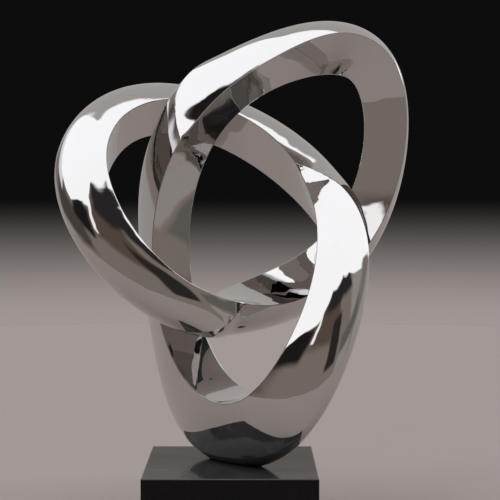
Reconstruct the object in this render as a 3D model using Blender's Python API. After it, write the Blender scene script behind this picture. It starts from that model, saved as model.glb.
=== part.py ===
"""Trefoil-knot sculpture: one closed metal strand standing on a square stone plinth.

The strand's centre line is drawn by arms that turn at whole-number rates and are added end
to end, like the arms of a drawing machine, and it swings to the front and back by a few
waves.  A flat inner face follows that line all the way round.  The outside of the strand is
convex, and one ridge in each third of the lap leaves the back crease, crosses the outside
and runs out into the front crease.

Metres, +Z up, +X to the right, -Y to the front.  The origin is the centre of the plinth's
underside.
"""
import math

import bmesh
import bpy
import numpy as np
from mathutils import Vector

# ---------------------------------------------------------------- driving dimensions
# Arms that draw the centre line in the front view: turns per lap, length, start angle.
ARMS = (
    (2, 0.254, 156),      # the three lobes ...
    (-1, 0.104, 171),     # ... looped round the middle
    (1, 0.073, 275),      # reaches the upper right lobe out and lowers the left one
    (3, 0.044, 247),      # lengthens the bottom and left lobes
    (-2, 0.033, 16),      # raises the upper lobes and lengthens the bottom one
    (4, 0.017, 270),      # the rest are small trims of the outline
    (5, 0.014, 238),
    (-5, 0.009, 5),
    (-3, 0.007, 73),
    (-4, 0.006, 103),
)
# Swings of the centre line to the front: waves per lap, size, where it peaks (degrees).
SWINGS = (
    (3, 0.082, 61),       # weaves the strand over and under itself
    (2, 0.120, 100),      # tips the bottom lobe forward and the other two back
    (1, 0.047, 280),
    (4, 0.028, 352),
    (5, 0.014, 303),
)
KNOT_CENTRE = (0.043, 0.142, 0.674)    # centre of the first arm
# Roll of the inner face about the line: waves per lap, size in degrees, peak.
ROLL_MEAN = 24.0
ROLLS = ((3, 35, 261), (1, 33, 145), (4, 17, 173), (2, 15, 260))
FACE_HALF = 0.060                 # half the width of the inner face
FACE_WAVES = ((3, 0.010, 95), (1, 0.009, 0), (2, 0.004, 112))
BODY_DEPTH = 0.116                # from the inner face to the back of the strand
BODY_WAVES = ((1, 0.028, 215), (3, 0.018, 312), (2, 0.012, 62))
BODY_LEAN = 0.47                  # how far the outside leans to the front crease
LEAN_WAVES = ((3, 0.21, 6),)
RIDGE_TIPS = (48, 186, 300)       # where each ridge runs out into the front crease
RIDGE_REACH = 105.0               # lap angle that one ridge takes to cross
RIDGE_HASTE = 4.7                 # higher: it crosses mostly near its tip
FACE_FLATNESS = 0.6               # higher: flatter faces and a sharper ridge
LEAN_FADE = 0.3                   # the lean dies away over this share before the tip
CORNER_CUT = 0.6                  # how far the ridge's end trims the front crease
CUT_HASTE = 5.0                   # higher: it trims only close to the tip

PLINTH_SIDE = 0.365
PLINTH_HEIGHT = 0.140
PLINTH_CHAMFER = 0.003
GAP = 0.0003                      # between the strand's foot and the plinth

STATIONS = 240                    # sections around the lap
OUTSIDE_STEPS = 16                # across the convex outside
INSIDE_STEPS = 2                  # across the flat inner face
CREASE_ANGLE = 28.0

STEEL_COLOUR = (0.60, 0.59, 0.58, 1.0)
STONE_COLOUR = (0.012, 0.012, 0.013, 1.0)


def clear_scene():
    for obj in list(bpy.data.objects):
        bpy.data.objects.remove(obj, do_unlink=True)


def waves(table, lap):
    """Sum of the cosine waves in table at the lap angles, in the table's own unit."""
    total = np.zeros_like(lap)
    for count, size, peak in table:
        total += size * np.cos(count * lap - math.radians(peak))
    return total


def centre_line(lap):
    """Points of the line at the lap angles, as rows of x, y, z."""
    x = np.full_like(lap, KNOT_CENTRE[0])
    z = np.full_like(lap, KNOT_CENTRE[2])
    for turns, length, start in ARMS:
        angle = turns * lap + math.radians(start)
        x += length * np.cos(angle)
        z += length * np.sin(angle)
    y = KNOT_CENTRE[1] - waves(SWINGS, lap)
    return np.stack([x, y, z], axis=1)


def unit(rows):
    return rows / np.linalg.norm(rows, axis=1, keepdims=True)


def section_axes(lap):
    """The line, the direction across the inner face and the way that face looks."""
    step = 1e-4
    line = centre_line(lap)
    along = unit(centre_line(lap + step) - centre_line(lap - step))
    inward = unit(np.stack([-along[:, 2], np.zeros_like(lap), along[:, 0]], axis=1))
    forward = np.cross(along, inward)
    roll = np.radians(ROLL_MEAN + waves(ROLLS, lap))[:, None]
    across = np.cos(roll) * forward - np.sin(roll) * inward
    looks = np.cos(roll) * inward + np.sin(roll) * forward
    return line, across, looks


def ridge_share(lap):
    """How far the ridge has crossed at each lap angle: 0 at the back crease, 1 at the front."""
    tips = np.radians(np.array(RIDGE_TIPS, dtype=float))
    ahead = np.mod(tips[None, :] - lap[:, None], 2 * math.pi).min(axis=1)
    left = np.clip(ahead / math.radians(RIDGE_REACH), 0.0, 1.0)
    return (1.0 - left) ** RIDGE_HASTE


def arc(start, end, fullness, steps):
    """Points from start to end along a circular arc that bulges to the right of the way."""
    bulge = math.tan(math.pi / 4.0 * fullness) ** (1.0 + FACE_FLATNESS * (1.0 - fullness))
    opening = 4.0 * math.atan(max(bulge, 1e-3))
    chord = end - start
    side = np.array([chord[1], -chord[0]])
    middle = (start + end) / 2.0
    points = []
    for k in range(steps + 1):
        angle = (k / max(steps, 1) - 0.5) * opening
        reach = 0.5 / math.sin(opening / 2.0)
        rise = reach * (math.cos(angle) - math.cos(opening / 2.0))
        points.append(middle + reach * math.sin(angle) * chord + rise * side)
    return points


def smooth_step(value, high):
    """Rises from 0 to 1 with a soft start and end as value goes from 0 to high."""
    x = min(max(value / high, 0.0), 1.0)
    return x * x * (3.0 - 2.0 * x)


def outside_profile(share, lean):
    """The convex outside, back crease to front crease, on a face of half-width 1, depth 1."""
    angle = math.pi * share
    lean *= smooth_step(1.0 - share, LEAN_FADE)
    cut = CORNER_CUT * math.sin(angle) * share ** CUT_HASTE
    back = np.array([-1.0, 0.0])
    front = np.array([1.0 - cut, 0.0])
    ridge = np.array([lean * math.sin(angle) - math.cos(angle), -math.sin(angle)])
    ridge_step = round(OUTSIDE_STEPS * share)
    if ridge_step in (0, OUTSIDE_STEPS):
        return arc(back, front, max(share, 1.0 - share), OUTSIDE_STEPS)
    first = arc(back, ridge, share, ridge_step)
    second = arc(ridge, front, 1.0 - share, OUTSIDE_STEPS - ridge_step)
    return first + second[1:]


def strand_sections():
    """Points of every section, outside first and then back across the inner face."""
    lap = np.arange(STATIONS) * 2 * math.pi / STATIONS
    line, across, looks = section_axes(lap)
    half = FACE_HALF + waves(FACE_WAVES, lap)
    depth = BODY_DEPTH + waves(BODY_WAVES, lap)
    lean = BODY_LEAN + waves(LEAN_WAVES, lap)
    share = ridge_share(lap)
    sections = []
    for i in range(STATIONS):
        profile = outside_profile(float(share[i]), float(lean[i]))
        back, front = profile[0], profile[-1]
        profile += [front + (back - front) * k / INSIDE_STEPS for k in range(1, INSIDE_STEPS)]
        ring = [line[i] + p[0] * half[i] * across[i] + p[1] * depth[i] * looks[i] for p in profile]
        sections.append(ring)
    return sections


def build_strand(sections):
    """One closed skin through the sections, joined end to end round the lap."""
    bm = bmesh.new()
    rings = [[bm.verts.new(Vector(p)) for p in ring] for ring in sections]
    around = len(rings[0])
    for i in range(len(rings)):
        here = rings[i]
        ahead = rings[(i + 1) % len(rings)]
        for j in range(around):
            k = (j + 1) % around
            bm.faces.new((here[j], ahead[j], ahead[k]))
            bm.faces.new((here[j], ahead[k], here[k]))
    bmesh.ops.recalc_face_normals(bm, faces=bm.faces[:])
    mesh = bpy.data.meshes.new("knot")
    bm.to_mesh(mesh)
    bm.free()
    return mesh


def add_object(name, mesh, parent=None):
    obj = bpy.data.objects.new(name, mesh)
    bpy.context.scene.collection.objects.link(obj)
    obj.parent = parent
    return obj


def material(name, colour, metallic, roughness):
    mat = bpy.data.materials.new(name)
    mat.use_nodes = True
    shader = mat.node_tree.nodes["Principled BSDF"]
    shader.inputs["Base Color"].default_value = colour
    shader.inputs["Metallic"].default_value = metallic
    shader.inputs["Roughness"].default_value = roughness
    return mat


def box_mesh(name, size):
    """A box whose underside is centred on its own origin."""
    bm = bmesh.new()
    bmesh.ops.create_cube(bm, size=1.0)
    bmesh.ops.translate(bm, vec=(0.0, 0.0, 0.5), verts=bm.verts[:])
    bmesh.ops.scale(bm, vec=size, verts=bm.verts[:])
    mesh = bpy.data.meshes.new(name)
    bm.to_mesh(mesh)
    bm.free()
    return mesh


def make_plinth(parent):
    size = (PLINTH_SIDE, PLINTH_SIDE, PLINTH_HEIGHT)
    plinth = add_object("plinth", box_mesh("plinth", size), parent)
    chamfer = plinth.modifiers.new("chamfer", 'BEVEL')
    chamfer.width = PLINTH_CHAMFER
    chamfer.segments = 1
    plinth.data.materials.append(material("polished_stone", STONE_COLOUR, 0.0, 0.12))
    return plinth


def make_knot(parent):
    knot = add_object("knot", build_strand(strand_sections()), parent)
    knot.data.materials.append(material("polished_steel", STEEL_COLOUR, 1.0, 0.03))
    knot.data.shade_smooth()
    knot.data.set_sharp_from_angle(angle=math.radians(CREASE_ANGLE))
    cutter = add_object("foot_cutter", box_mesh("foot_cutter", (1.0, 1.0, 0.3)), parent)
    cutter.location = (0.0, 0.0, PLINTH_HEIGHT + GAP - 0.3)
    cutter.hide_render = True
    cutter.display_type = 'WIRE'
    foot = knot.modifiers.new("flat_foot", 'BOOLEAN')
    foot.operation = 'DIFFERENCE'
    foot.solver = 'EXACT'
    foot.object = cutter
    return knot


def main():
    clear_scene()
    root = add_object("sculpture", None)
    make_plinth(root)
    make_knot(root)


main()
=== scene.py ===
"""Visual model of a mirror-polished steel trefoil knot on a black stone plinth.

Metres, +Z up, +X to the right, -Y to the front.  The knot is one closed skin drawn by a
Geometry Nodes tree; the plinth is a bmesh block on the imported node's own box.  The metal mirrors
a pale floor and a surround of soft panels and flags, which the camera sees as a plain backdrop.
"""
import math

import bmesh
import bpy
from bpy.props import FloatProperty, FloatVectorProperty, IntProperty, PointerProperty
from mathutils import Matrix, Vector


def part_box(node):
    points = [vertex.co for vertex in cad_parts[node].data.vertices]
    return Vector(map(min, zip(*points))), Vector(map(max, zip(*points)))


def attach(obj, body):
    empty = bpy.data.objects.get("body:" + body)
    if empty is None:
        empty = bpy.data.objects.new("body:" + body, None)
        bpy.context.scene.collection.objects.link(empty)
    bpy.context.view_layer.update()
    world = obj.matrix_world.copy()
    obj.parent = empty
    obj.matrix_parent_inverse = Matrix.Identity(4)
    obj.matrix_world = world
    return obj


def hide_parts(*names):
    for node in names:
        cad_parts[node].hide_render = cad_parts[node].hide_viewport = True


bl_info = {
    "name": "Polished Knot Sculpture",
    "version": (1, 0, 0),
    "blender": (4, 5, 0),
    "location": "3D View > Sidebar > Sculpture",
    "description": "Builds a mirror-polished trefoil knot, its stone plinth and a studio",
    "category": "Object",
}

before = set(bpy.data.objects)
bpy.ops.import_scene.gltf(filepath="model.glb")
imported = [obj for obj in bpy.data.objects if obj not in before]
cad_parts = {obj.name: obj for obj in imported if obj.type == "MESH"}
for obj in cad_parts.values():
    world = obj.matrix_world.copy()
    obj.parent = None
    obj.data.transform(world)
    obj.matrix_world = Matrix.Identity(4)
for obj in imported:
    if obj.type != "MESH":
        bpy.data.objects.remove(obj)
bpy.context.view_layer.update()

# ---------------------------------------------------------------- the knot's drawing rule
# Arms that draw the centre line in the front view: turns per lap, length, start angle.
ARMS = (
    (2, 0.254, 156),      # the three lobes ...
    (-1, 0.104, 171),     # ... looped round the middle
    (1, 0.073, 275),      # reaches the upper right lobe out and lowers the left one
    (3, 0.044, 247),      # lengthens the bottom and left lobes
    (-2, 0.033, 16),      # raises the upper lobes and lengthens the bottom one
    (4, 0.017, 270),      # the rest are small trims of the outline
    (5, 0.014, 238),
    (-5, 0.009, 5),
    (-3, 0.007, 73),
    (-4, 0.006, 103),
)
# Swings of the centre line to the front: waves per lap, size, where it peaks (degrees).
# The first weaves the strand over and under itself; the second tips the bottom lobe forward.
SWINGS = ((3, 0.082, 61), (2, 0.120, 100), (1, 0.047, 280), (4, 0.028, 352), (5, 0.014, 303))
KNOT_CENTRE = (0.043, 0.142, 0.674)
# Roll of the inner face (degrees), half its width, and the body's depth and lean about their
# means: waves per lap, size, where it peaks (degrees).
ROLLS = ((3, 35, 261), (1, 33, 145), (4, 17, 173), (2, 15, 260))
FACE_WAVES = ((3, 0.010, 95), (1, 0.009, 0), (2, 0.004, 112))
BODY_WAVES = ((1, 0.028, 215), (3, 0.018, 312), (2, 0.012, 62))
LEAN_WAVES = ((3, 0.21, 6),)
RIDGE_TIPS = (48, 186, 300)       # lap angles where each ridge runs out into the front crease
LEAN_FADE = 0.3                   # the lean dies away over this last share of a ridge
CUT_HASTE = 5.0                   # higher: the ridge cuts the front corner only near its tip

WELD = 0.00002                    # joins the skin's first and last rows
FLATTEST = 0.001                  # least bulge of a face, so that its arc stays defined
GAP = 0.0003                      # between the knot's foot and the plinth

# ---------------------------------------------------------------- the studio
# Lower rim of the skylight: azimuth from the camera side and elevation, in degrees.
RIM = ((-180, 28), (-140, 35), (-76, 38), (-60, 50), (-33, 60), (-28, 74), (40, 76), (70, 67),
       (95, 46), (135, 8), (160, 8), (180, 28))
# Soft panels and dark flags far round the piece: azimuth, elevation, width, height and edge
# softness (degrees), and brightness.  Each lies over the ones before it.
PANELS = {
    "left_screen": (-88, 16, 64, 34, 12, (0.085, 0.073, 0.065)),
    "left_flag": (-56, 41, 32, 26, 8, (0.016, 0.014, 0.014)),
    "front_screen": (-4, 52, 70, 30, 12, (0.120, 0.092, 0.074)),
    "front_flag": (25, 31, 26, 46, 6, (0.030, 0.027, 0.026)),
    "right_flag": (74, 21, 52, 16, 4, (0.150, 0.145, 0.135)),
    "low_right_card": (68, -2, 40, 24, 3, (0.36, 0.33, 0.32)),
    "high_right_screen": (92, 42, 40, 30, 10, (0.36, 0.345, 0.335)),
    "left_softbox": (-124, 35, 44, 18, 5, (0.95, 0.96, 1.03)),
    "strip_light": (-35, 52, 6, 22, 2, (1.30, 1.30, 1.32)),
}
HOODED = (25, 45, 100, 90, 10)        # where a dark hood shades the skylight's rim
BACK_SHEET = (180, 41, 70, 58, 3)     # a grey sheet hung before the skylight, behind the piece
HOOD_SOFTNESS = 6.0                   # degrees over which the hood fades in from below
RIM_SOFTNESS = 1.0                    # degrees either side of the rim
LOW_WALL_TURN = (-0.05, 0.25)         # how far to the back (sine) the low wall starts and is full
LOW_WALL_TOP = (0.13, 0.17)           # how high (sine of the elevation) it starts to end and ends
BACKDROP_FOOT = -5.5                  # elevation where the floor gives way to the backdrop
BACKDROP_TOP = -0.5                   # and where the backdrop has darkened

FLOAT = 'NodeSocketFloat'
VECTOR = 'NodeSocketVector'


# ================================================================ arithmetic with nodes
class Field:
    """One number in a node tree; arithmetic on it adds the nodes that work it out."""

    def __init__(self, tree, socket):
        self.tree = tree
        self.socket = socket

    def __add__(self, other):
        return calc(self.tree, 'ADD', self, other)

    def __sub__(self, other):
        return calc(self.tree, 'SUBTRACT', self, other)

    def __rsub__(self, other):
        return calc(self.tree, 'SUBTRACT', other, self)

    def __mul__(self, other):
        return calc(self.tree, 'MULTIPLY', self, other)

    def __truediv__(self, other):
        return calc(self.tree, 'DIVIDE', self, other)

    def __rtruediv__(self, other):
        return calc(self.tree, 'DIVIDE', other, self)

    def __pow__(self, other):
        return calc(self.tree, 'POWER', self, other)


def feed(tree, value, socket):
    """Links a field to a socket, or sets the socket to a plain value."""
    if isinstance(value, Field):
        tree.links.new(value.socket, socket)
    else:
        socket.default_value = value


def calc(tree, operation, *values):
    """One Math node at work on fields or plain numbers."""
    node = tree.nodes.new("ShaderNodeMath")
    node.operation = operation
    for socket, value in zip(node.inputs, values):
        feed(tree, value, socket)
    return Field(tree, node.outputs[0])


def sine(angle):
    """Sine of an angle in radians."""
    return calc(angle.tree, 'SINE', angle)


def cosine(angle):
    """Cosine of an angle in radians."""
    return calc(angle.tree, 'COSINE', angle)


def vector_calc(tree, operation, *values):
    """One Vector Math node whose result is a vector."""
    node = tree.nodes.new("ShaderNodeVectorMath")
    node.operation = operation
    for socket, value in zip(node.inputs, values):
        feed(tree, value, socket)
    return Field(tree, node.outputs["Vector"])


def scaled(vector, size):
    """The vector made size times as long."""
    node = vector.tree.nodes.new("ShaderNodeVectorMath")
    node.operation = 'SCALE'
    feed(vector.tree, vector, node.inputs[0])
    feed(vector.tree, size, node.inputs["Scale"])
    return Field(vector.tree, node.outputs["Vector"])


def plus(first, second):
    """Sum of two vectors."""
    return vector_calc(first.tree, 'ADD', first, second)


def minus(first, second):
    """First vector less the second."""
    return vector_calc(first.tree, 'SUBTRACT', first, second)


def unit(vector):
    """The vector made one long."""
    return vector_calc(vector.tree, 'NORMALIZE', vector)


def vector_of(tree, x, y, z):
    """A vector from its three parts."""
    node = tree.nodes.new("ShaderNodeCombineXYZ")
    for socket, value in zip(node.inputs, (x, y, z)):
        feed(tree, value, socket)
    return Field(tree, node.outputs[0])


def parts_of(vector):
    """The three parts of a vector."""
    node = vector.tree.nodes.new("ShaderNodeSeparateXYZ")
    feed(vector.tree, vector, node.inputs[0])
    return [Field(vector.tree, socket) for socket in node.outputs]


def smooth_step(value, low, high):
    """0 below low, 1 above high and an even curve between them."""
    node = value.tree.nodes.new("ShaderNodeMapRange")
    node.interpolation_type = 'SMOOTHSTEP'
    feed(value.tree, value, node.inputs["Value"])
    feed(value.tree, low, node.inputs["From Min"])
    feed(value.tree, high, node.inputs["From Max"])
    return Field(value.tree, node.outputs["Result"])


def blend(share, first, second):
    """Colour that goes from first to second as share goes from 0 to 1."""
    node = share.tree.nodes.new("ShaderNodeMix")
    node.data_type = 'RGBA'
    feed(share.tree, share, node.inputs["Factor"])
    for name, value in (("A", first), ("B", second)):
        socket = next(s for s in node.inputs if s.name == name and s.type == 'RGBA')
        feed(share.tree, value if isinstance(value, Field) else (*value, 1.0), socket)
    return Field(share.tree, next(s for s in node.outputs if s.type == 'RGBA'))


def noise(place, scale, detail=2.0, roughness=0.5, distortion=0.0):
    """Smooth noise from 0 to 1 at a place."""
    node = place.tree.nodes.new("ShaderNodeTexNoise")
    feed(place.tree, place, node.inputs["Vector"])
    for name, value in (("Scale", scale), ("Detail", detail), ("Roughness", roughness),
                        ("Distortion", distortion)):
        feed(place.tree, value, node.inputs[name])
    return Field(place.tree, node.outputs["Fac"])


def new_group(name, kind, inputs, outputs):
    """An empty node group with named sockets: the group, its given values and its output node."""
    group = bpy.data.node_groups.new(name, kind)
    for label, socket_type, default in inputs:
        socket = group.interface.new_socket(name=label, in_out='INPUT', socket_type=socket_type)
        if default is not None:
            socket.default_value = default
    for label, socket_type in outputs:
        group.interface.new_socket(name=label, in_out='OUTPUT', socket_type=socket_type)
    entry = group.nodes.new("NodeGroupInput")
    given = {socket.name: Field(group, socket) for socket in entry.outputs if socket.name}
    return group, given, group.nodes.new("NodeGroupOutput")


def place_group(tree, group, values):
    """Puts a group into a tree with these values and returns its outputs by name."""
    kind = "GeometryNodeGroup" if tree.type == 'GEOMETRY' else "ShaderNodeGroup"
    node = tree.nodes.new(kind)
    node.node_tree = group
    for name, value in values.items():
        feed(tree, value, node.inputs[name])
    return {socket.name: Field(tree, socket) for socket in node.outputs}


def arrange(tree):
    """Lays the nodes out in columns, each one right of what feeds it."""
    column = {node: 0 for node in tree.nodes}
    for _ in range(len(tree.nodes)):
        moved = False
        for link in tree.links:
            if column[link.to_node] <= column[link.from_node]:
                column[link.to_node] = column[link.from_node] + 1
                moved = True
        if not moved:
            break
    filled = {}
    for node, place in column.items():
        row = filled.get(place, 0)
        filled[place] = row + 1
        node.location = (place * 200.0, -row * 190.0)


# ================================================================ the knot's node groups
def turning_arm_group():
    """One arm that turns as the lap goes round: where its tip is, and how fast it moves."""
    group, given, result = new_group(
        "turning_arm", 'GeometryNodeTree',
        (("Lap", FLOAT, 0.0), ("Turns", FLOAT, 1.0), ("Length", FLOAT, 0.1), ("Start", FLOAT, 0.0)),
        (("Tip", VECTOR), ("Rate", VECTOR)))
    angle = given["Turns"] * given["Lap"] + given["Start"]
    across = given["Length"] * cosine(angle)
    up = given["Length"] * sine(angle)
    feed(group, vector_of(group, across, 0.0, up), result.inputs["Tip"])
    turns = given["Turns"]
    rate = vector_of(group, up * turns * -1.0, 0.0, across * turns)
    feed(group, rate, result.inputs["Rate"])
    arrange(group)
    return group


def wave_group():
    """One cosine wave round the lap, and its rate of change."""
    group, given, result = new_group(
        "wave", 'GeometryNodeTree',
        (("Lap", FLOAT, 0.0), ("Waves", FLOAT, 1.0), ("Size", FLOAT, 0.1), ("Peak", FLOAT, 0.0)),
        (("Value", FLOAT), ("Rate", FLOAT)))
    angle = given["Waves"] * given["Lap"] - given["Peak"]
    feed(group, given["Size"] * cosine(angle), result.inputs["Value"])
    rate = given["Size"] * given["Waves"] * sine(angle) * -1.0
    feed(group, rate, result.inputs["Rate"])
    arrange(group)
    return group


def wave_sum(tree, wave, lap, table, start=0.0, in_degrees=False):
    """start plus the waves in the table, with the sum of their rates."""
    value = start
    rate = 0.0
    for count, size, peak in table:
        size = math.radians(size) if in_degrees else size
        outputs = place_group(tree, wave, {
            "Lap": lap, "Waves": count, "Size": size, "Peak": math.radians(peak)})
        value = outputs["Value"] + value
        rate = outputs["Rate"] + rate
    return value, rate


def centre_line_group(arm, wave):
    """The strand's centre line and its direction at a lap angle."""
    group, given, result = new_group(
        "centre_line", 'GeometryNodeTree', (("Lap", FLOAT, 0.0),),
        (("Point", VECTOR), ("Along", VECTOR)))
    lap = given["Lap"]
    swing, swing_rate = wave_sum(group, wave, lap, SWINGS)
    point = plus(vector_of(group, 0.0, swing * -1.0, 0.0), KNOT_CENTRE)
    rate = vector_of(group, 0.0, swing_rate * -1.0, 0.0)
    for turns, length, start in ARMS:
        outputs = place_group(group, arm, {
            "Lap": lap, "Turns": turns, "Length": length, "Start": math.radians(start)})
        point = plus(point, outputs["Tip"])
        rate = plus(rate, outputs["Rate"])
    feed(group, point, result.inputs["Point"])
    feed(group, unit(rate), result.inputs["Along"])
    arrange(group)
    return group


def face_arc_group():
    """A point on the circular arc between two profile points; Fullness 1 is a half circle."""
    group, given, result = new_group(
        "face_arc", 'GeometryNodeTree',
        (("Start", VECTOR, None), ("End", VECTOR, None), ("Fullness", FLOAT, 1.0),
         ("Flatness", FLOAT, 0.6), ("Fraction", FLOAT, 0.5)),
        (("Point", VECTOR),))
    chord = minus(given["End"], given["Start"])
    middle = scaled(plus(given["Start"], given["End"]), 0.5)
    run, drop, _ = parts_of(chord)
    side = vector_of(group, drop, run * -1.0, 0.0)
    fullness = calc(group, 'MAXIMUM', given["Fullness"], 0.0)
    round_bulge = calc(group, 'TANGENT', fullness * (math.pi / 4.0))
    bulge = round_bulge ** ((1.0 - fullness) * given["Flatness"] + 1.0)
    bulge = calc(group, 'MAXIMUM', bulge, FLATTEST)
    half_opening = calc(group, 'ARCTANGENT', bulge) * 2.0
    angle = (given["Fraction"] - 0.5) * half_opening * 2.0
    reach = 0.5 / sine(half_opening)
    rise = reach * sine((half_opening + angle) * 0.5) * sine((half_opening - angle) * 0.5) * 2.0
    along = scaled(chord, reach * sine(angle))
    feed(group, plus(plus(middle, along), scaled(side, rise)), result.inputs["Point"])
    arrange(group)
    return group


def strand_inputs():
    """Named inputs of the strand tree and the settings that fill them."""
    return (
        ("Stations", 'NodeSocketInt', "stations"),
        ("Outside Columns", 'NodeSocketInt', "outside_columns"),
        ("Inside Columns", 'NodeSocketInt', "inside_columns"),
        ("Face Half Width", FLOAT, "face_half"),
        ("Body Depth", FLOAT, "body_depth"),
        ("Body Lean", FLOAT, "body_lean"),
        ("Mean Roll", FLOAT, "mean_roll"),
        ("Ridge Reach", FLOAT, "ridge_reach"),
        ("Ridge Haste", FLOAT, "ridge_haste"),
        ("Face Flatness", FLOAT, "face_flatness"),
        ("Corner Cut", FLOAT, "corner_cut"),
        ("Crease Crispness", FLOAT, "crease_crispness"),
    )


def crisp(fraction, crispness):
    """Gathers evenly spaced fractions towards 0 and 1, where the creases are."""
    turn = fraction * math.tau
    return fraction - sine(turn) * crispness * (1.0 / math.tau)


def ridge_share(lap, reach, haste):
    """How far the ridge has crossed the outside: 0 at the back crease, 1 at the front."""
    ahead = None
    for tip in RIDGE_TIPS:
        gap = calc(lap.tree, 'WRAP', math.radians(tip) - lap, math.tau, 0.0)
        ahead = gap if ahead is None else calc(lap.tree, 'MINIMUM', ahead, gap)
    left = calc(lap.tree, 'MINIMUM', ahead / reach, 1.0)
    return (1.0 - left) ** haste


def profile_point(tree, given, column, share, lean):
    """A section's point at a column, on a face of half width 1 and a body of depth 1."""
    outside = given["Outside Columns"]
    crispness = given["Crease Crispness"]
    angle = share * math.pi
    lean = lean * smooth_step(1.0 - share, 0.0, LEAN_FADE)
    ridge = vector_of(tree, lean * sine(angle) - cosine(angle), sine(angle) * -1.0, 0.0)
    cut = given["Corner Cut"] * sine(angle) * share ** CUT_HASTE
    front_corner = vector_of(tree, 1.0 - cut, 0.0, 0.0)

    ridge_column = calc(tree, 'ROUND', outside * share)
    on_ridge = calc(tree, 'COMPARE', column, ridge_column, 0.5)
    on_ridge = on_ridge * calc(tree, 'GREATER_THAN', ridge_column, 0.5)
    on_ridge = on_ridge * calc(tree, 'LESS_THAN', ridge_column, outside - 0.5)
    before = calc(tree, 'MAXIMUM', calc(tree, 'LESS_THAN', column, ridge_column - 0.5), on_ridge)
    before = calc(tree, 'MAXIMUM', before, calc(tree, 'LESS_THAN', column, 0.5))

    across = column / outside
    first = calc(tree, 'MAXIMUM', crisp(across / share, crispness) * (1.0 - on_ridge), on_ridge)
    second = crisp((across - share) / (1.0 - share), crispness)
    arc = face_arc_group()
    back = place_group(tree, arc, {
        "Start": (-1.0, 0.0, 0.0), "End": ridge, "Fullness": share,
        "Flatness": given["Face Flatness"], "Fraction": first})["Point"]
    front = place_group(tree, arc, {
        "Start": ridge, "End": front_corner, "Fullness": 1.0 - share,
        "Flatness": given["Face Flatness"], "Fraction": second})["Point"]
    over = crisp((column - outside) / given["Inside Columns"], crispness)
    inside = vector_of(tree, 1.0 - cut - over * (2.0 - cut), 0.0, 0.0)

    point = plus(scaled(back, before), scaled(front, 1.0 - before))
    is_inside = calc(tree, 'GREATER_THAN', column, outside + 0.5)
    return plus(scaled(inside, is_inside), scaled(point, 1.0 - is_inside))


def strand_tree(foot_height):
    """Geometry Nodes tree that wraps a grid round the lap into one closed, polished skin."""
    inputs = [(name, kind, None) for name, kind, _ in strand_inputs()]
    inputs.append(("Finish", 'NodeSocketMaterial', None))
    tree, given, result = new_group(
        "knot_strand", 'GeometryNodeTree', inputs, (("Geometry", 'NodeSocketGeometry'),))
    wave = wave_group()

    columns = given["Outside Columns"] + given["Inside Columns"]
    grid = tree.nodes.new("GeometryNodeMeshGrid")
    feed(tree, given["Stations"] + 1.0, grid.inputs["Vertices X"])
    feed(tree, columns + 1.0, grid.inputs["Vertices Y"])
    index = Field(tree, tree.nodes.new("GeometryNodeInputIndex").outputs[0])
    station = calc(tree, 'FLOOR', (index + 0.5) / (columns + 1.0))
    column = calc(tree, 'MODULO', index - station * (columns + 1.0), columns)
    lap = calc(tree, 'MODULO', station, given["Stations"]) / given["Stations"] * math.tau

    line = place_group(tree, centre_line_group(turning_arm_group(), wave), {"Lap": lap})
    along_x, _, along_z = parts_of(line["Along"])
    inward = unit(vector_of(tree, along_z * -1.0, 0.0, along_x))
    forward = vector_calc(tree, 'CROSS_PRODUCT', line["Along"], inward)
    roll, _ = wave_sum(tree, wave, lap, ROLLS, given["Mean Roll"], in_degrees=True)
    across = minus(scaled(forward, cosine(roll)), scaled(inward, sine(roll)))
    looks = plus(scaled(inward, cosine(roll)), scaled(forward, sine(roll)))

    half, _ = wave_sum(tree, wave, lap, FACE_WAVES, given["Face Half Width"])
    depth, _ = wave_sum(tree, wave, lap, BODY_WAVES, given["Body Depth"])
    lean, _ = wave_sum(tree, wave, lap, LEAN_WAVES, given["Body Lean"])
    share = ridge_share(lap, given["Ridge Reach"], given["Ridge Haste"])
    side, down, _ = parts_of(profile_point(tree, given, column, share, lean))
    place = plus(line["Point"], scaled(across, side * half))
    place = plus(place, scaled(looks, down * depth))
    x, y, z = parts_of(place)
    place = vector_of(tree, x, y, calc(tree, 'MAXIMUM', z, foot_height))

    chain = [grid]
    moved = tree.nodes.new("GeometryNodeSetPosition")
    feed(tree, place, moved.inputs["Position"])
    welded = tree.nodes.new("GeometryNodeMergeByDistance")
    welded.inputs["Distance"].default_value = WELD
    split = tree.nodes.new("GeometryNodeTriangulate")
    set_choice(split, "quad_method", "Quad Method", 'FIXED')
    chain += [moved, welded, split, tree.nodes.new("GeometryNodeFlipFaces")]
    chain.append(tree.nodes.new("GeometryNodeSetShadeSmooth"))
    chain.append(tree.nodes.new("GeometryNodeRealizeInstances"))
    finish = tree.nodes.new("GeometryNodeSetMaterial")
    feed(tree, given["Finish"], finish.inputs["Material"])
    chain.append(finish)
    for before, after in zip(chain, chain[1:]):
        tree.links.new(before.outputs[0], after.inputs[0])
    tree.links.new(finish.outputs[0], result.inputs["Geometry"])
    arrange(tree)
    return tree


def set_choice(node, attribute, socket_name, choice):
    """Sets a node's choice, which is an attribute or a menu socket."""
    if hasattr(node, attribute):
        setattr(node, attribute, choice)
    else:
        node.inputs[socket_name].default_value = choice


# ================================================================ finishes
def new_material(name):
    """A material with its shader, and the piece's own coordinates to paint by."""
    finish = bpy.data.materials.new(name)
    finish.use_nodes = True
    tree = finish.node_tree
    shader = tree.nodes["Principled BSDF"]
    coords = tree.nodes.new("ShaderNodeTexCoord")
    return finish, tree, shader, Field(tree, coords.outputs["Object"])


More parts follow.
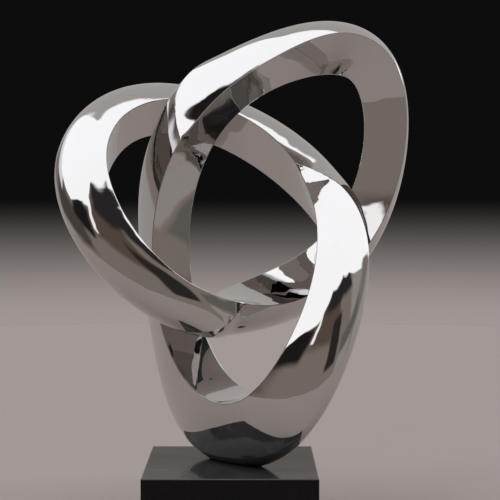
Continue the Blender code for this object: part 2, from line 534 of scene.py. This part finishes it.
def hand_polish_group():
    """Slow ripples left by grinding and buffing by hand, and where the polish is hazier."""
    group, given, result = new_group(
        "hand_polish", 'ShaderNodeTree',
        (("Place", VECTOR, None), ("Ripples", FLOAT, 9.0), ("Fine Share", FLOAT, 0.12)),
        (("Height", FLOAT), ("Haze", FLOAT)))
    place = given["Place"]
    slow = noise(place, given["Ripples"], 1.0, 0.4, 0.6)
    fine = noise(place, given["Ripples"] * 4.0, 1.0, 0.5, 0.3)
    feed(group, slow + fine * given["Fine Share"], result.inputs["Height"])
    patches = noise(place, given["Ripples"] * 0.6, 3.0, 0.6, 0.8)
    feed(group, smooth_step(patches, 0.45, 0.75), result.inputs["Haze"])
    arrange(group)
    return group


def wipe_marks_group():
    """Soft streaks and specks that a cloth and handling leave on a polished surface."""
    group, given, result = new_group(
        "wipe_marks", 'ShaderNodeTree',
        (("Place", VECTOR, None), ("Stretch", VECTOR, (1.0, 1.0, 0.2)), ("Scale", FLOAT, 30.0)),
        (("Streaks", FLOAT), ("Specks", FLOAT)))
    place = vector_calc(group, 'MULTIPLY', given["Place"], given["Stretch"])
    streaks = noise(place, given["Scale"], 4.0, 0.7, 1.5)
    feed(group, smooth_step(streaks, 0.5, 0.8), result.inputs["Streaks"])
    specks = noise(given["Place"], given["Scale"] * 25.0, 1.0, 0.5)
    feed(group, smooth_step(specks, 0.68, 0.75), result.inputs["Specks"])
    arrange(group)
    return group


def polished_steel(colour, polish, marks):
    """Mirror-polished stainless steel: slow ripples, faint haze and wipe marks."""
    finish, tree, shader, place = new_material("polished_steel")
    shader.inputs["Metallic"].default_value = 1.0
    buffed = place_group(tree, polish, {"Place": place, "Ripples": 8.0, "Fine Share": 0.06})
    wiped = place_group(tree, marks, {"Place": place, "Scale": 24.0})
    warmth = noise(place, 5.0, 2.0)
    warm = (colour[0], colour[1] * 0.985, colour[2] * 0.97)
    tint = blend(smooth_step(warmth, 0.35, 0.65), colour, warm)
    dull = tuple(channel * 0.93 for channel in colour)
    feed(tree, blend(wiped["Streaks"] * 0.35, tint, dull), shader.inputs["Base Color"])
    roughness = buffed["Haze"] * 0.03 + wiped["Streaks"] * 0.025 + wiped["Specks"] * 0.05 + 0.018
    feed(tree, roughness, shader.inputs["Roughness"])
    bump = tree.nodes.new("ShaderNodeBump")
    bump.inputs["Strength"].default_value = 1.0
    bump.inputs["Distance"].default_value = 0.0022
    feed(tree, buffed["Height"], bump.inputs["Height"])
    tree.links.new(bump.outputs["Normal"], shader.inputs["Normal"])
    arrange(tree)
    return finish


def polished_stone(colour, corner, arris, polish, marks):
    """Black stone, polished: fine grey grain, wipe marks and dust on top, a painted sheen that
    lightens the whole top and a painted highlight on its arris.
    """
    finish, tree, shader, place = new_material("polished_stone")
    shader.inputs["IOR"].default_value = 1.55
    shader.inputs["Specular IOR Level"].default_value = 0.15
    grain = noise(place, 900.0, 2.0, 0.6)
    cloud = noise(place, 60.0, 3.0, 0.6)
    fleck = tuple(min(channel * 5.0, 1.0) for channel in colour)
    base = blend(smooth_step(grain + cloud * 0.25, 0.66, 0.86), colour, fleck)
    wiped = place_group(tree, marks, {"Place": place, "Stretch": (0.35, 1.0, 1.0), "Scale": 18.0})
    x, y, z = parts_of(place)
    aside = calc(tree, 'MAXIMUM', calc(tree, 'ABSOLUTE', x), calc(tree, 'ABSOLUTE', y))
    # Painted highlight: the outermost rim of the top, the arris, is painted lighter to stand for
    # the bright line of light it catches.
    painted_arris_highlight = smooth_step(aside, corner.x - arris, corner.x - arris * 2.0 / 3.0)
    lying = smooth_step(z, corner.z - arris, corner.z - arris / 3.0)
    # Real wipe dust in streaks and specks on the top, plus an even painted sheen (the 0.3) that
    # lightens the whole top face as its reflection would, plus the painted arris highlight.
    dust_and_sheen = lying * (wiped["Streaks"] * 0.5 + wiped["Specks"] * 0.5 + painted_arris_highlight * 0.6 + 0.3)
    feed(tree, blend(dust_and_sheen, base, (0.18, 0.18, 0.18)), shader.inputs["Base Color"])
    buffed = place_group(tree, polish, {"Place": place, "Ripples": 14.0, "Fine Share": 0.05})
    roughness = buffed["Haze"] * 0.05 + wiped["Streaks"] * 0.10 + 0.07
    feed(tree, roughness, shader.inputs["Roughness"])
    bump = tree.nodes.new("ShaderNodeBump")
    bump.inputs["Strength"].default_value = 0.3
    bump.inputs["Distance"].default_value = 0.0003
    feed(tree, buffed["Height"] + grain * 0.05, bump.inputs["Height"])
    tree.links.new(bump.outputs["Normal"], shader.inputs["Normal"])
    arrange(tree)
    return finish


def finish_groups():
    """The two effects that both finishes use, made once."""
    polish = bpy.data.node_groups.get("hand_polish") or hand_polish_group()
    marks = bpy.data.node_groups.get("wipe_marks") or wipe_marks_group()
    return polish, marks


def pale_floor(pale):
    """Plain pale floor paint, faintly mottled."""
    finish, tree, shader, place = new_material("pale_floor")
    darker = tuple(channel * 0.8 for channel in pale)
    paint = blend(noise(place, 2.5, 4.0, 0.6) * 0.2, pale, darker)
    feed(tree, paint, shader.inputs["Base Color"])
    shader.inputs["Roughness"].default_value = 1.0
    shader.inputs["Specular IOR Level"].default_value = 0.0
    arrange(tree)
    return finish


def link(name, data):
    """A new object in the scene, at the origin."""
    piece = bpy.data.objects.new(name, data)
    bpy.context.scene.collection.objects.link(piece)
    return piece


def plain_mesh(piece, modifier):
    """Turns what the modifier makes into the piece's own mesh and takes the modifier off.

    The grid brings an empty material slot of its own, which goes too.
    """
    depsgraph = bpy.context.evaluated_depsgraph_get()
    mesh = bpy.data.meshes.new_from_object(piece.evaluated_get(depsgraph), depsgraph=depsgraph)
    piece.modifiers.remove(modifier)
    mesh.name = piece.name
    if mesh.materials[0] is None:
        mesh.materials.pop(index=0)
    piece.data = mesh
    return mesh


class KnotSettings(bpy.types.PropertyGroup):
    """Sizes and finish of the knot."""

    stations: IntProperty(
        name="Stations", description="Sections round the lap", default=1080, min=240, max=2000)
    outside_columns: IntProperty(
        name="Outside columns", description="Columns across the convex outside", default=56, min=16)
    inside_columns: IntProperty(
        name="Inside columns", description="Columns across the inner face", default=20, min=4)
    face_half: FloatProperty(
        name="Inner face half width", description="Half the mean width of the inner face",
        default=0.060, unit='LENGTH')
    body_depth: FloatProperty(
        name="Body depth", description="Mean depth behind the inner face", default=0.116,
        unit='LENGTH')
    body_lean: FloatProperty(
        name="Body lean", description="How far the outside leans to the front crease", default=0.47)
    mean_roll: FloatProperty(
        name="Mean roll", description="Mean roll of the inner face about the line",
        default=math.radians(24.0), subtype='ANGLE')
    ridge_reach: FloatProperty(
        name="Ridge reach", description="Lap angle that one ridge takes to cross",
        default=math.radians(105.0), subtype='ANGLE')
    ridge_haste: FloatProperty(
        name="Ridge haste", description="Higher: the ridge crosses mostly near its tip",
        default=4.7)
    face_flatness: FloatProperty(
        name="Face flatness", description="Higher: flatter faces and a sharper ridge", default=0.6)
    corner_cut: FloatProperty(
        name="Corner cut", description="How deep a ridge cuts the front corner by its tip",
        default=0.6)
    crease_crispness: FloatProperty(
        name="Crease crispness", description="How closely the columns gather at the creases",
        default=0.7, min=0.0, max=0.9)
    steel: FloatVectorProperty(
        name="Steel", description="Colour of the polished steel", default=(0.64, 0.63, 0.62),
        subtype='COLOR', min=0.0, max=1.0)


class PlinthSettings(bpy.types.PropertyGroup):
    """Edges and finish of the plinth."""

    arris: FloatProperty(
        name="Arris", description="Width of the eased edges", default=0.003, unit='LENGTH')
    arris_steps: IntProperty(
        name="Arris steps", description="Strips across an eased edge", default=3, min=1)
    stone: FloatVectorProperty(
        name="Stone", description="Colour of the polished stone", default=(0.006, 0.006, 0.007),
        subtype='COLOR', min=0.0, max=1.0)


class StageSettings(bpy.types.PropertyGroup):
    """The floor, the studio light and the camera in front of the piece."""

    aim: FloatVectorProperty(
        name="Aim", description="Point that the camera looks at", default=(0.041, 0.142, 0.592),
        subtype='TRANSLATION')
    distance: FloatProperty(
        name="Distance", description="From the camera to the aim", default=3.195, unit='LENGTH')
    tilt: FloatProperty(
        name="Tilt", description="How far the camera looks down", default=math.radians(2.65),
        subtype='ANGLE')
    lens: FloatProperty(
        name="Lens", description="Focal length in millimetres", default=102.24)
    floor_radius: FloatProperty(
        name="Floor radius", description="Radius of the round floor", default=4.5, unit='LENGTH')
    floor: FloatVectorProperty(
        name="Floor", description="Pale paint of the floor", default=(0.54, 0.48, 0.45),
        subtype='COLOR', min=0.0, max=1.0)
    room: FloatVectorProperty(
        name="Room", description="Light from where no panel stands",
        default=(0.25, 0.212, 0.192),
        subtype='COLOR', min=0.0, max=1.0)
    hood: FloatVectorProperty(
        name="Hood", description="Dark band under the skylight's rim, in front",
        default=(0.030, 0.026, 0.029), subtype='COLOR', min=0.0, max=1.0)
    skirting: FloatVectorProperty(
        name="Skirting", description="Low pale wall behind the piece", default=(0.38, 0.36, 0.35),
        subtype='COLOR', min=0.0, max=1.0)
    backdrop: FloatVectorProperty(
        name="Backdrop", description="Plain backdrop, high up", default=(0.004, 0.004, 0.004),
        subtype='COLOR', min=0.0, max=1.0)
    backdrop_foot: FloatVectorProperty(
        name="Backdrop foot", description="Plain backdrop where it meets the floor",
        default=(0.347, 0.308, 0.294), subtype='COLOR', min=0.0, max=1.0)
    back_sheet: FloatVectorProperty(
        name="Back sheet", description="Grey sheet hung behind the piece",
        default=(0.48, 0.465, 0.46), subtype='COLOR', min=0.0, max=1.0)
    hood_width: FloatProperty(
        name="Hood width", description="Width of the dark band under the rim, in degrees",
        default=10.0)
    skylight: FloatVectorProperty(
        name="Skylight", description="The big soft light above", default=(1.42, 1.44, 1.50),
        subtype='COLOR', min=0.0, soft_max=2.0)


def make_knot(settings):
    """The knot: one skin drawn by the strand tree, made into a plain mesh."""
    _, plinth_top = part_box("plinth")
    tree = strand_tree(plinth_top.z + GAP)
    knot = link("knot_skin", bpy.data.meshes.new("knot_skin"))
    strand = knot.modifiers.new("strand", 'NODES')
    strand.node_group = tree
    sockets = {s.name: s.identifier for s in tree.interface.items_tree if s.in_out == 'INPUT'}
    for name, _, setting in strand_inputs():
        strand[sockets[name]] = getattr(settings, setting)
    strand[sockets["Finish"]] = polished_steel(tuple(settings.steel), *finish_groups())
    plain_mesh(knot, strand)
    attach(knot, "root")
    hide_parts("knot")
    return knot


def make_plinth(settings):
    """The plinth: a square block with eased edges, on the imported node's own box."""
    low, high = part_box("plinth")
    bm = bmesh.new()
    bmesh.ops.create_cube(bm, size=1.0)
    bmesh.ops.scale(bm, vec=high - low, verts=bm.verts[:])
    bmesh.ops.translate(bm, vec=(low + high) / 2.0, verts=bm.verts[:])
    bmesh.ops.bevel(
        bm, geom=bm.edges[:], offset=settings.arris, segments=settings.arris_steps, profile=0.5,
        affect='EDGES')
    bmesh.ops.recalc_face_normals(bm, faces=bm.faces[:])
    mesh = bpy.data.meshes.new("plinth_block")
    bm.to_mesh(mesh)
    bm.free()
    mesh.materials.append(
        polished_stone(tuple(settings.stone), high, settings.arris, *finish_groups()))
    plinth = link("plinth_block", mesh)
    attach(plinth, "root")
    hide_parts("plinth")
    return plinth


# ================================================================ the studio
def panel_mask_group():
    """1 inside a soft-edged window of directions, 0 outside it."""
    group, given, result = new_group(
        "panel_mask", 'ShaderNodeTree',
        (("Azimuth", FLOAT, 0.0), ("Elevation", FLOAT, 0.0), ("Centre Azimuth", FLOAT, 0.0),
         ("Centre Elevation", FLOAT, 0.0), ("Half Width", FLOAT, 0.2), ("Half Height", FLOAT, 0.2),
         ("Softness", FLOAT, 0.05)),
        (("Mask", FLOAT),))
    aside = calc(group, 'WRAP', given["Azimuth"] - given["Centre Azimuth"], math.pi, -math.pi)
    above = given["Elevation"] - given["Centre Elevation"]
    across = calc(group, 'ABSOLUTE', aside) - given["Half Width"]
    up = calc(group, 'ABSOLUTE', above) - given["Half Height"]
    mask = (1.0 - smooth_step(across / given["Softness"], -0.5, 0.5))
    mask = mask * (1.0 - smooth_step(up / given["Softness"], -0.5, 0.5))
    feed(group, mask, result.inputs["Mask"])
    arrange(group)
    return group


def window(tree, group, azimuth, elevation, place):
    """Mask of one panel: its centre, size and softness in degrees."""
    centre_azimuth, centre_elevation, width, height, softness = place
    return place_group(tree, group, {
        "Azimuth": azimuth, "Elevation": elevation,
        "Centre Azimuth": math.radians(centre_azimuth),
        "Centre Elevation": math.radians(centre_elevation),
        "Half Width": math.radians(width / 2.0), "Half Height": math.radians(height / 2.0),
        "Softness": math.radians(softness)})["Mask"]


def skylight_rim(tree, azimuth):
    """Elevation of the skylight's lower rim at an azimuth, both in radians."""
    node = tree.nodes.new("ShaderNodeFloatCurve")
    points = node.mapping.curves[0].points
    while len(points) < len(RIM):
        points.new(0.5, 0.5)
    for point, (around, height) in zip(points, RIM):
        point.location = (around / 360.0 + 0.5, height / 90.0)
        point.handle_type = 'VECTOR'
    node.mapping.update()
    feed(tree, azimuth * (1.0 / math.tau) + 0.5, node.inputs["Value"])
    return Field(tree, node.outputs["Value"]) * (math.pi / 2.0)


def straight_from_camera(tree):
    """1 for what the camera sees directly, 0 for what the metal mirrors and what lights it."""
    path = tree.nodes.new("ShaderNodeLightPath")
    return Field(tree, path.outputs["Is Camera Ray"])


def make_world(settings):
    """Walls, skylight, panels and flags by direction, and the backdrop that hides them."""
    world = bpy.data.worlds.new("studio")
    world.use_nodes = True
    tree = world.node_tree
    coords = tree.nodes.new("ShaderNodeTexCoord")
    x, y, z = parts_of(unit(Field(tree, coords.outputs["Generated"])))
    azimuth = calc(tree, 'ARCTAN2', x, y * -1.0)
    elevation = calc(tree, 'ARCSINE', z)
    group = panel_mask_group()

    over_rim = (elevation - skylight_rim(tree, azimuth)) * (180.0 / math.pi)
    low_wall = smooth_step(y, *LOW_WALL_TURN) * (1.0 - smooth_step(z, *LOW_WALL_TOP))
    light = blend(low_wall, tuple(settings.room), tuple(settings.skirting))
    for *place, colour in PANELS.values():
        light = blend(window(tree, group, azimuth, elevation, place), light, colour)
    hood = smooth_step(
        over_rim, -settings.hood_width - HOOD_SOFTNESS, -settings.hood_width)
    hood = hood * window(tree, group, azimuth, elevation, HOODED)
    light = blend(hood, light, tuple(settings.hood))
    open_sky = smooth_step(over_rim, -RIM_SOFTNESS, RIM_SOFTNESS)
    light = blend(open_sky, light, tuple(settings.skylight))
    sheet = window(tree, group, azimuth, elevation, BACK_SHEET)
    light = blend(sheet, light, tuple(settings.back_sheet))
    rise = smooth_step(elevation, math.radians(BACKDROP_FOOT), math.radians(BACKDROP_TOP))
    backdrop = blend(rise, tuple(settings.backdrop_foot), tuple(settings.backdrop))
    light = blend(straight_from_camera(tree), light, backdrop)
    feed(tree, light, tree.nodes["Background"].inputs["Color"])
    arrange(tree)
    bpy.context.scene.world = world
    return world


def make_floor(settings):
    """A round floor; the backdrop starts at its far edge with the same tone."""
    bm = bmesh.new()
    bmesh.ops.create_circle(bm, cap_ends=True, segments=96, radius=settings.floor_radius)
    bmesh.ops.recalc_face_normals(bm, faces=bm.faces[:])
    mesh = bpy.data.meshes.new("floor")
    bm.to_mesh(mesh)
    bm.free()
    mesh.materials.append(pale_floor(tuple(settings.floor)))
    floor = link("floor", mesh)
    return floor


def make_camera(settings):
    """The camera in front of the piece, looking slightly down at it."""
    data = bpy.data.cameras.new("camera")
    data.sensor_width = 36.0
    data.lens = settings.lens
    camera = link("camera", data)
    back = Vector((0.0, -math.cos(settings.tilt), math.sin(settings.tilt)))
    camera.location = Vector(settings.aim) + back * settings.distance
    camera.rotation_euler = (math.pi / 2.0 - settings.tilt, 0.0, 0.0)
    bpy.context.scene.camera = camera
    return camera


# ================================================================ add-on
class SCULPTURE_OT_knot(bpy.types.Operator):
    """Builds the polished steel knot"""

    bl_idname = "sculpture.knot"
    bl_label = "Knot"

    def execute(self, context):
        make_knot(context.scene.knot_settings)
        return {'FINISHED'}


class SCULPTURE_OT_plinth(bpy.types.Operator):
    """Builds the black stone plinth"""

    bl_idname = "sculpture.plinth"
    bl_label = "Plinth"

    def execute(self, context):
        make_plinth(context.scene.plinth_settings)
        return {'FINISHED'}


class SCULPTURE_OT_stage(bpy.types.Operator):
    """Builds the floor, the studio light and the camera"""

    bl_idname = "sculpture.stage"
    bl_label = "Stage"

    def execute(self, context):
        settings = context.scene.stage_settings
        make_floor(settings)
        make_world(settings)
        make_camera(settings)
        context.scene.view_settings.view_transform = 'Standard'
        return {'FINISHED'}


class SCULPTURE_PT_panel(bpy.types.Panel):
    """Sizes, finishes and the buttons that build each piece"""

    bl_idname = "SCULPTURE_PT_panel"
    bl_label = "Sculpture"
    bl_space_type = 'VIEW_3D'
    bl_region_type = 'UI'
    bl_category = "Sculpture"

    def draw(self, context):
        for group, operator in (("knot_settings", "sculpture.knot"),
                                ("plinth_settings", "sculpture.plinth"),
                                ("stage_settings", "sculpture.stage")):
            box = self.layout.box()
            settings = getattr(context.scene, group)
            for name in settings.__annotations__:
                box.prop(settings, name)
            box.operator(operator)


CLASSES = (KnotSettings, PlinthSettings, StageSettings, SCULPTURE_OT_knot, SCULPTURE_OT_plinth,
           SCULPTURE_OT_stage, SCULPTURE_PT_panel)


def register():
    for cls in CLASSES:
        bpy.utils.register_class(cls)
    bpy.types.Scene.knot_settings = PointerProperty(type=KnotSettings)
    bpy.types.Scene.plinth_settings = PointerProperty(type=PlinthSettings)
    bpy.types.Scene.stage_settings = PointerProperty(type=StageSettings)


def unregister():
    del bpy.types.Scene.stage_settings
    del bpy.types.Scene.plinth_settings
    del bpy.types.Scene.knot_settings
    for cls in reversed(CLASSES):
        bpy.utils.unregister_class(cls)


def main():
    """Registers the add-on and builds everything."""
    register()
    bpy.ops.sculpture.knot()
    bpy.ops.sculpture.plinth()
    bpy.ops.sculpture.stage()


if __name__ == "__main__":
    main()
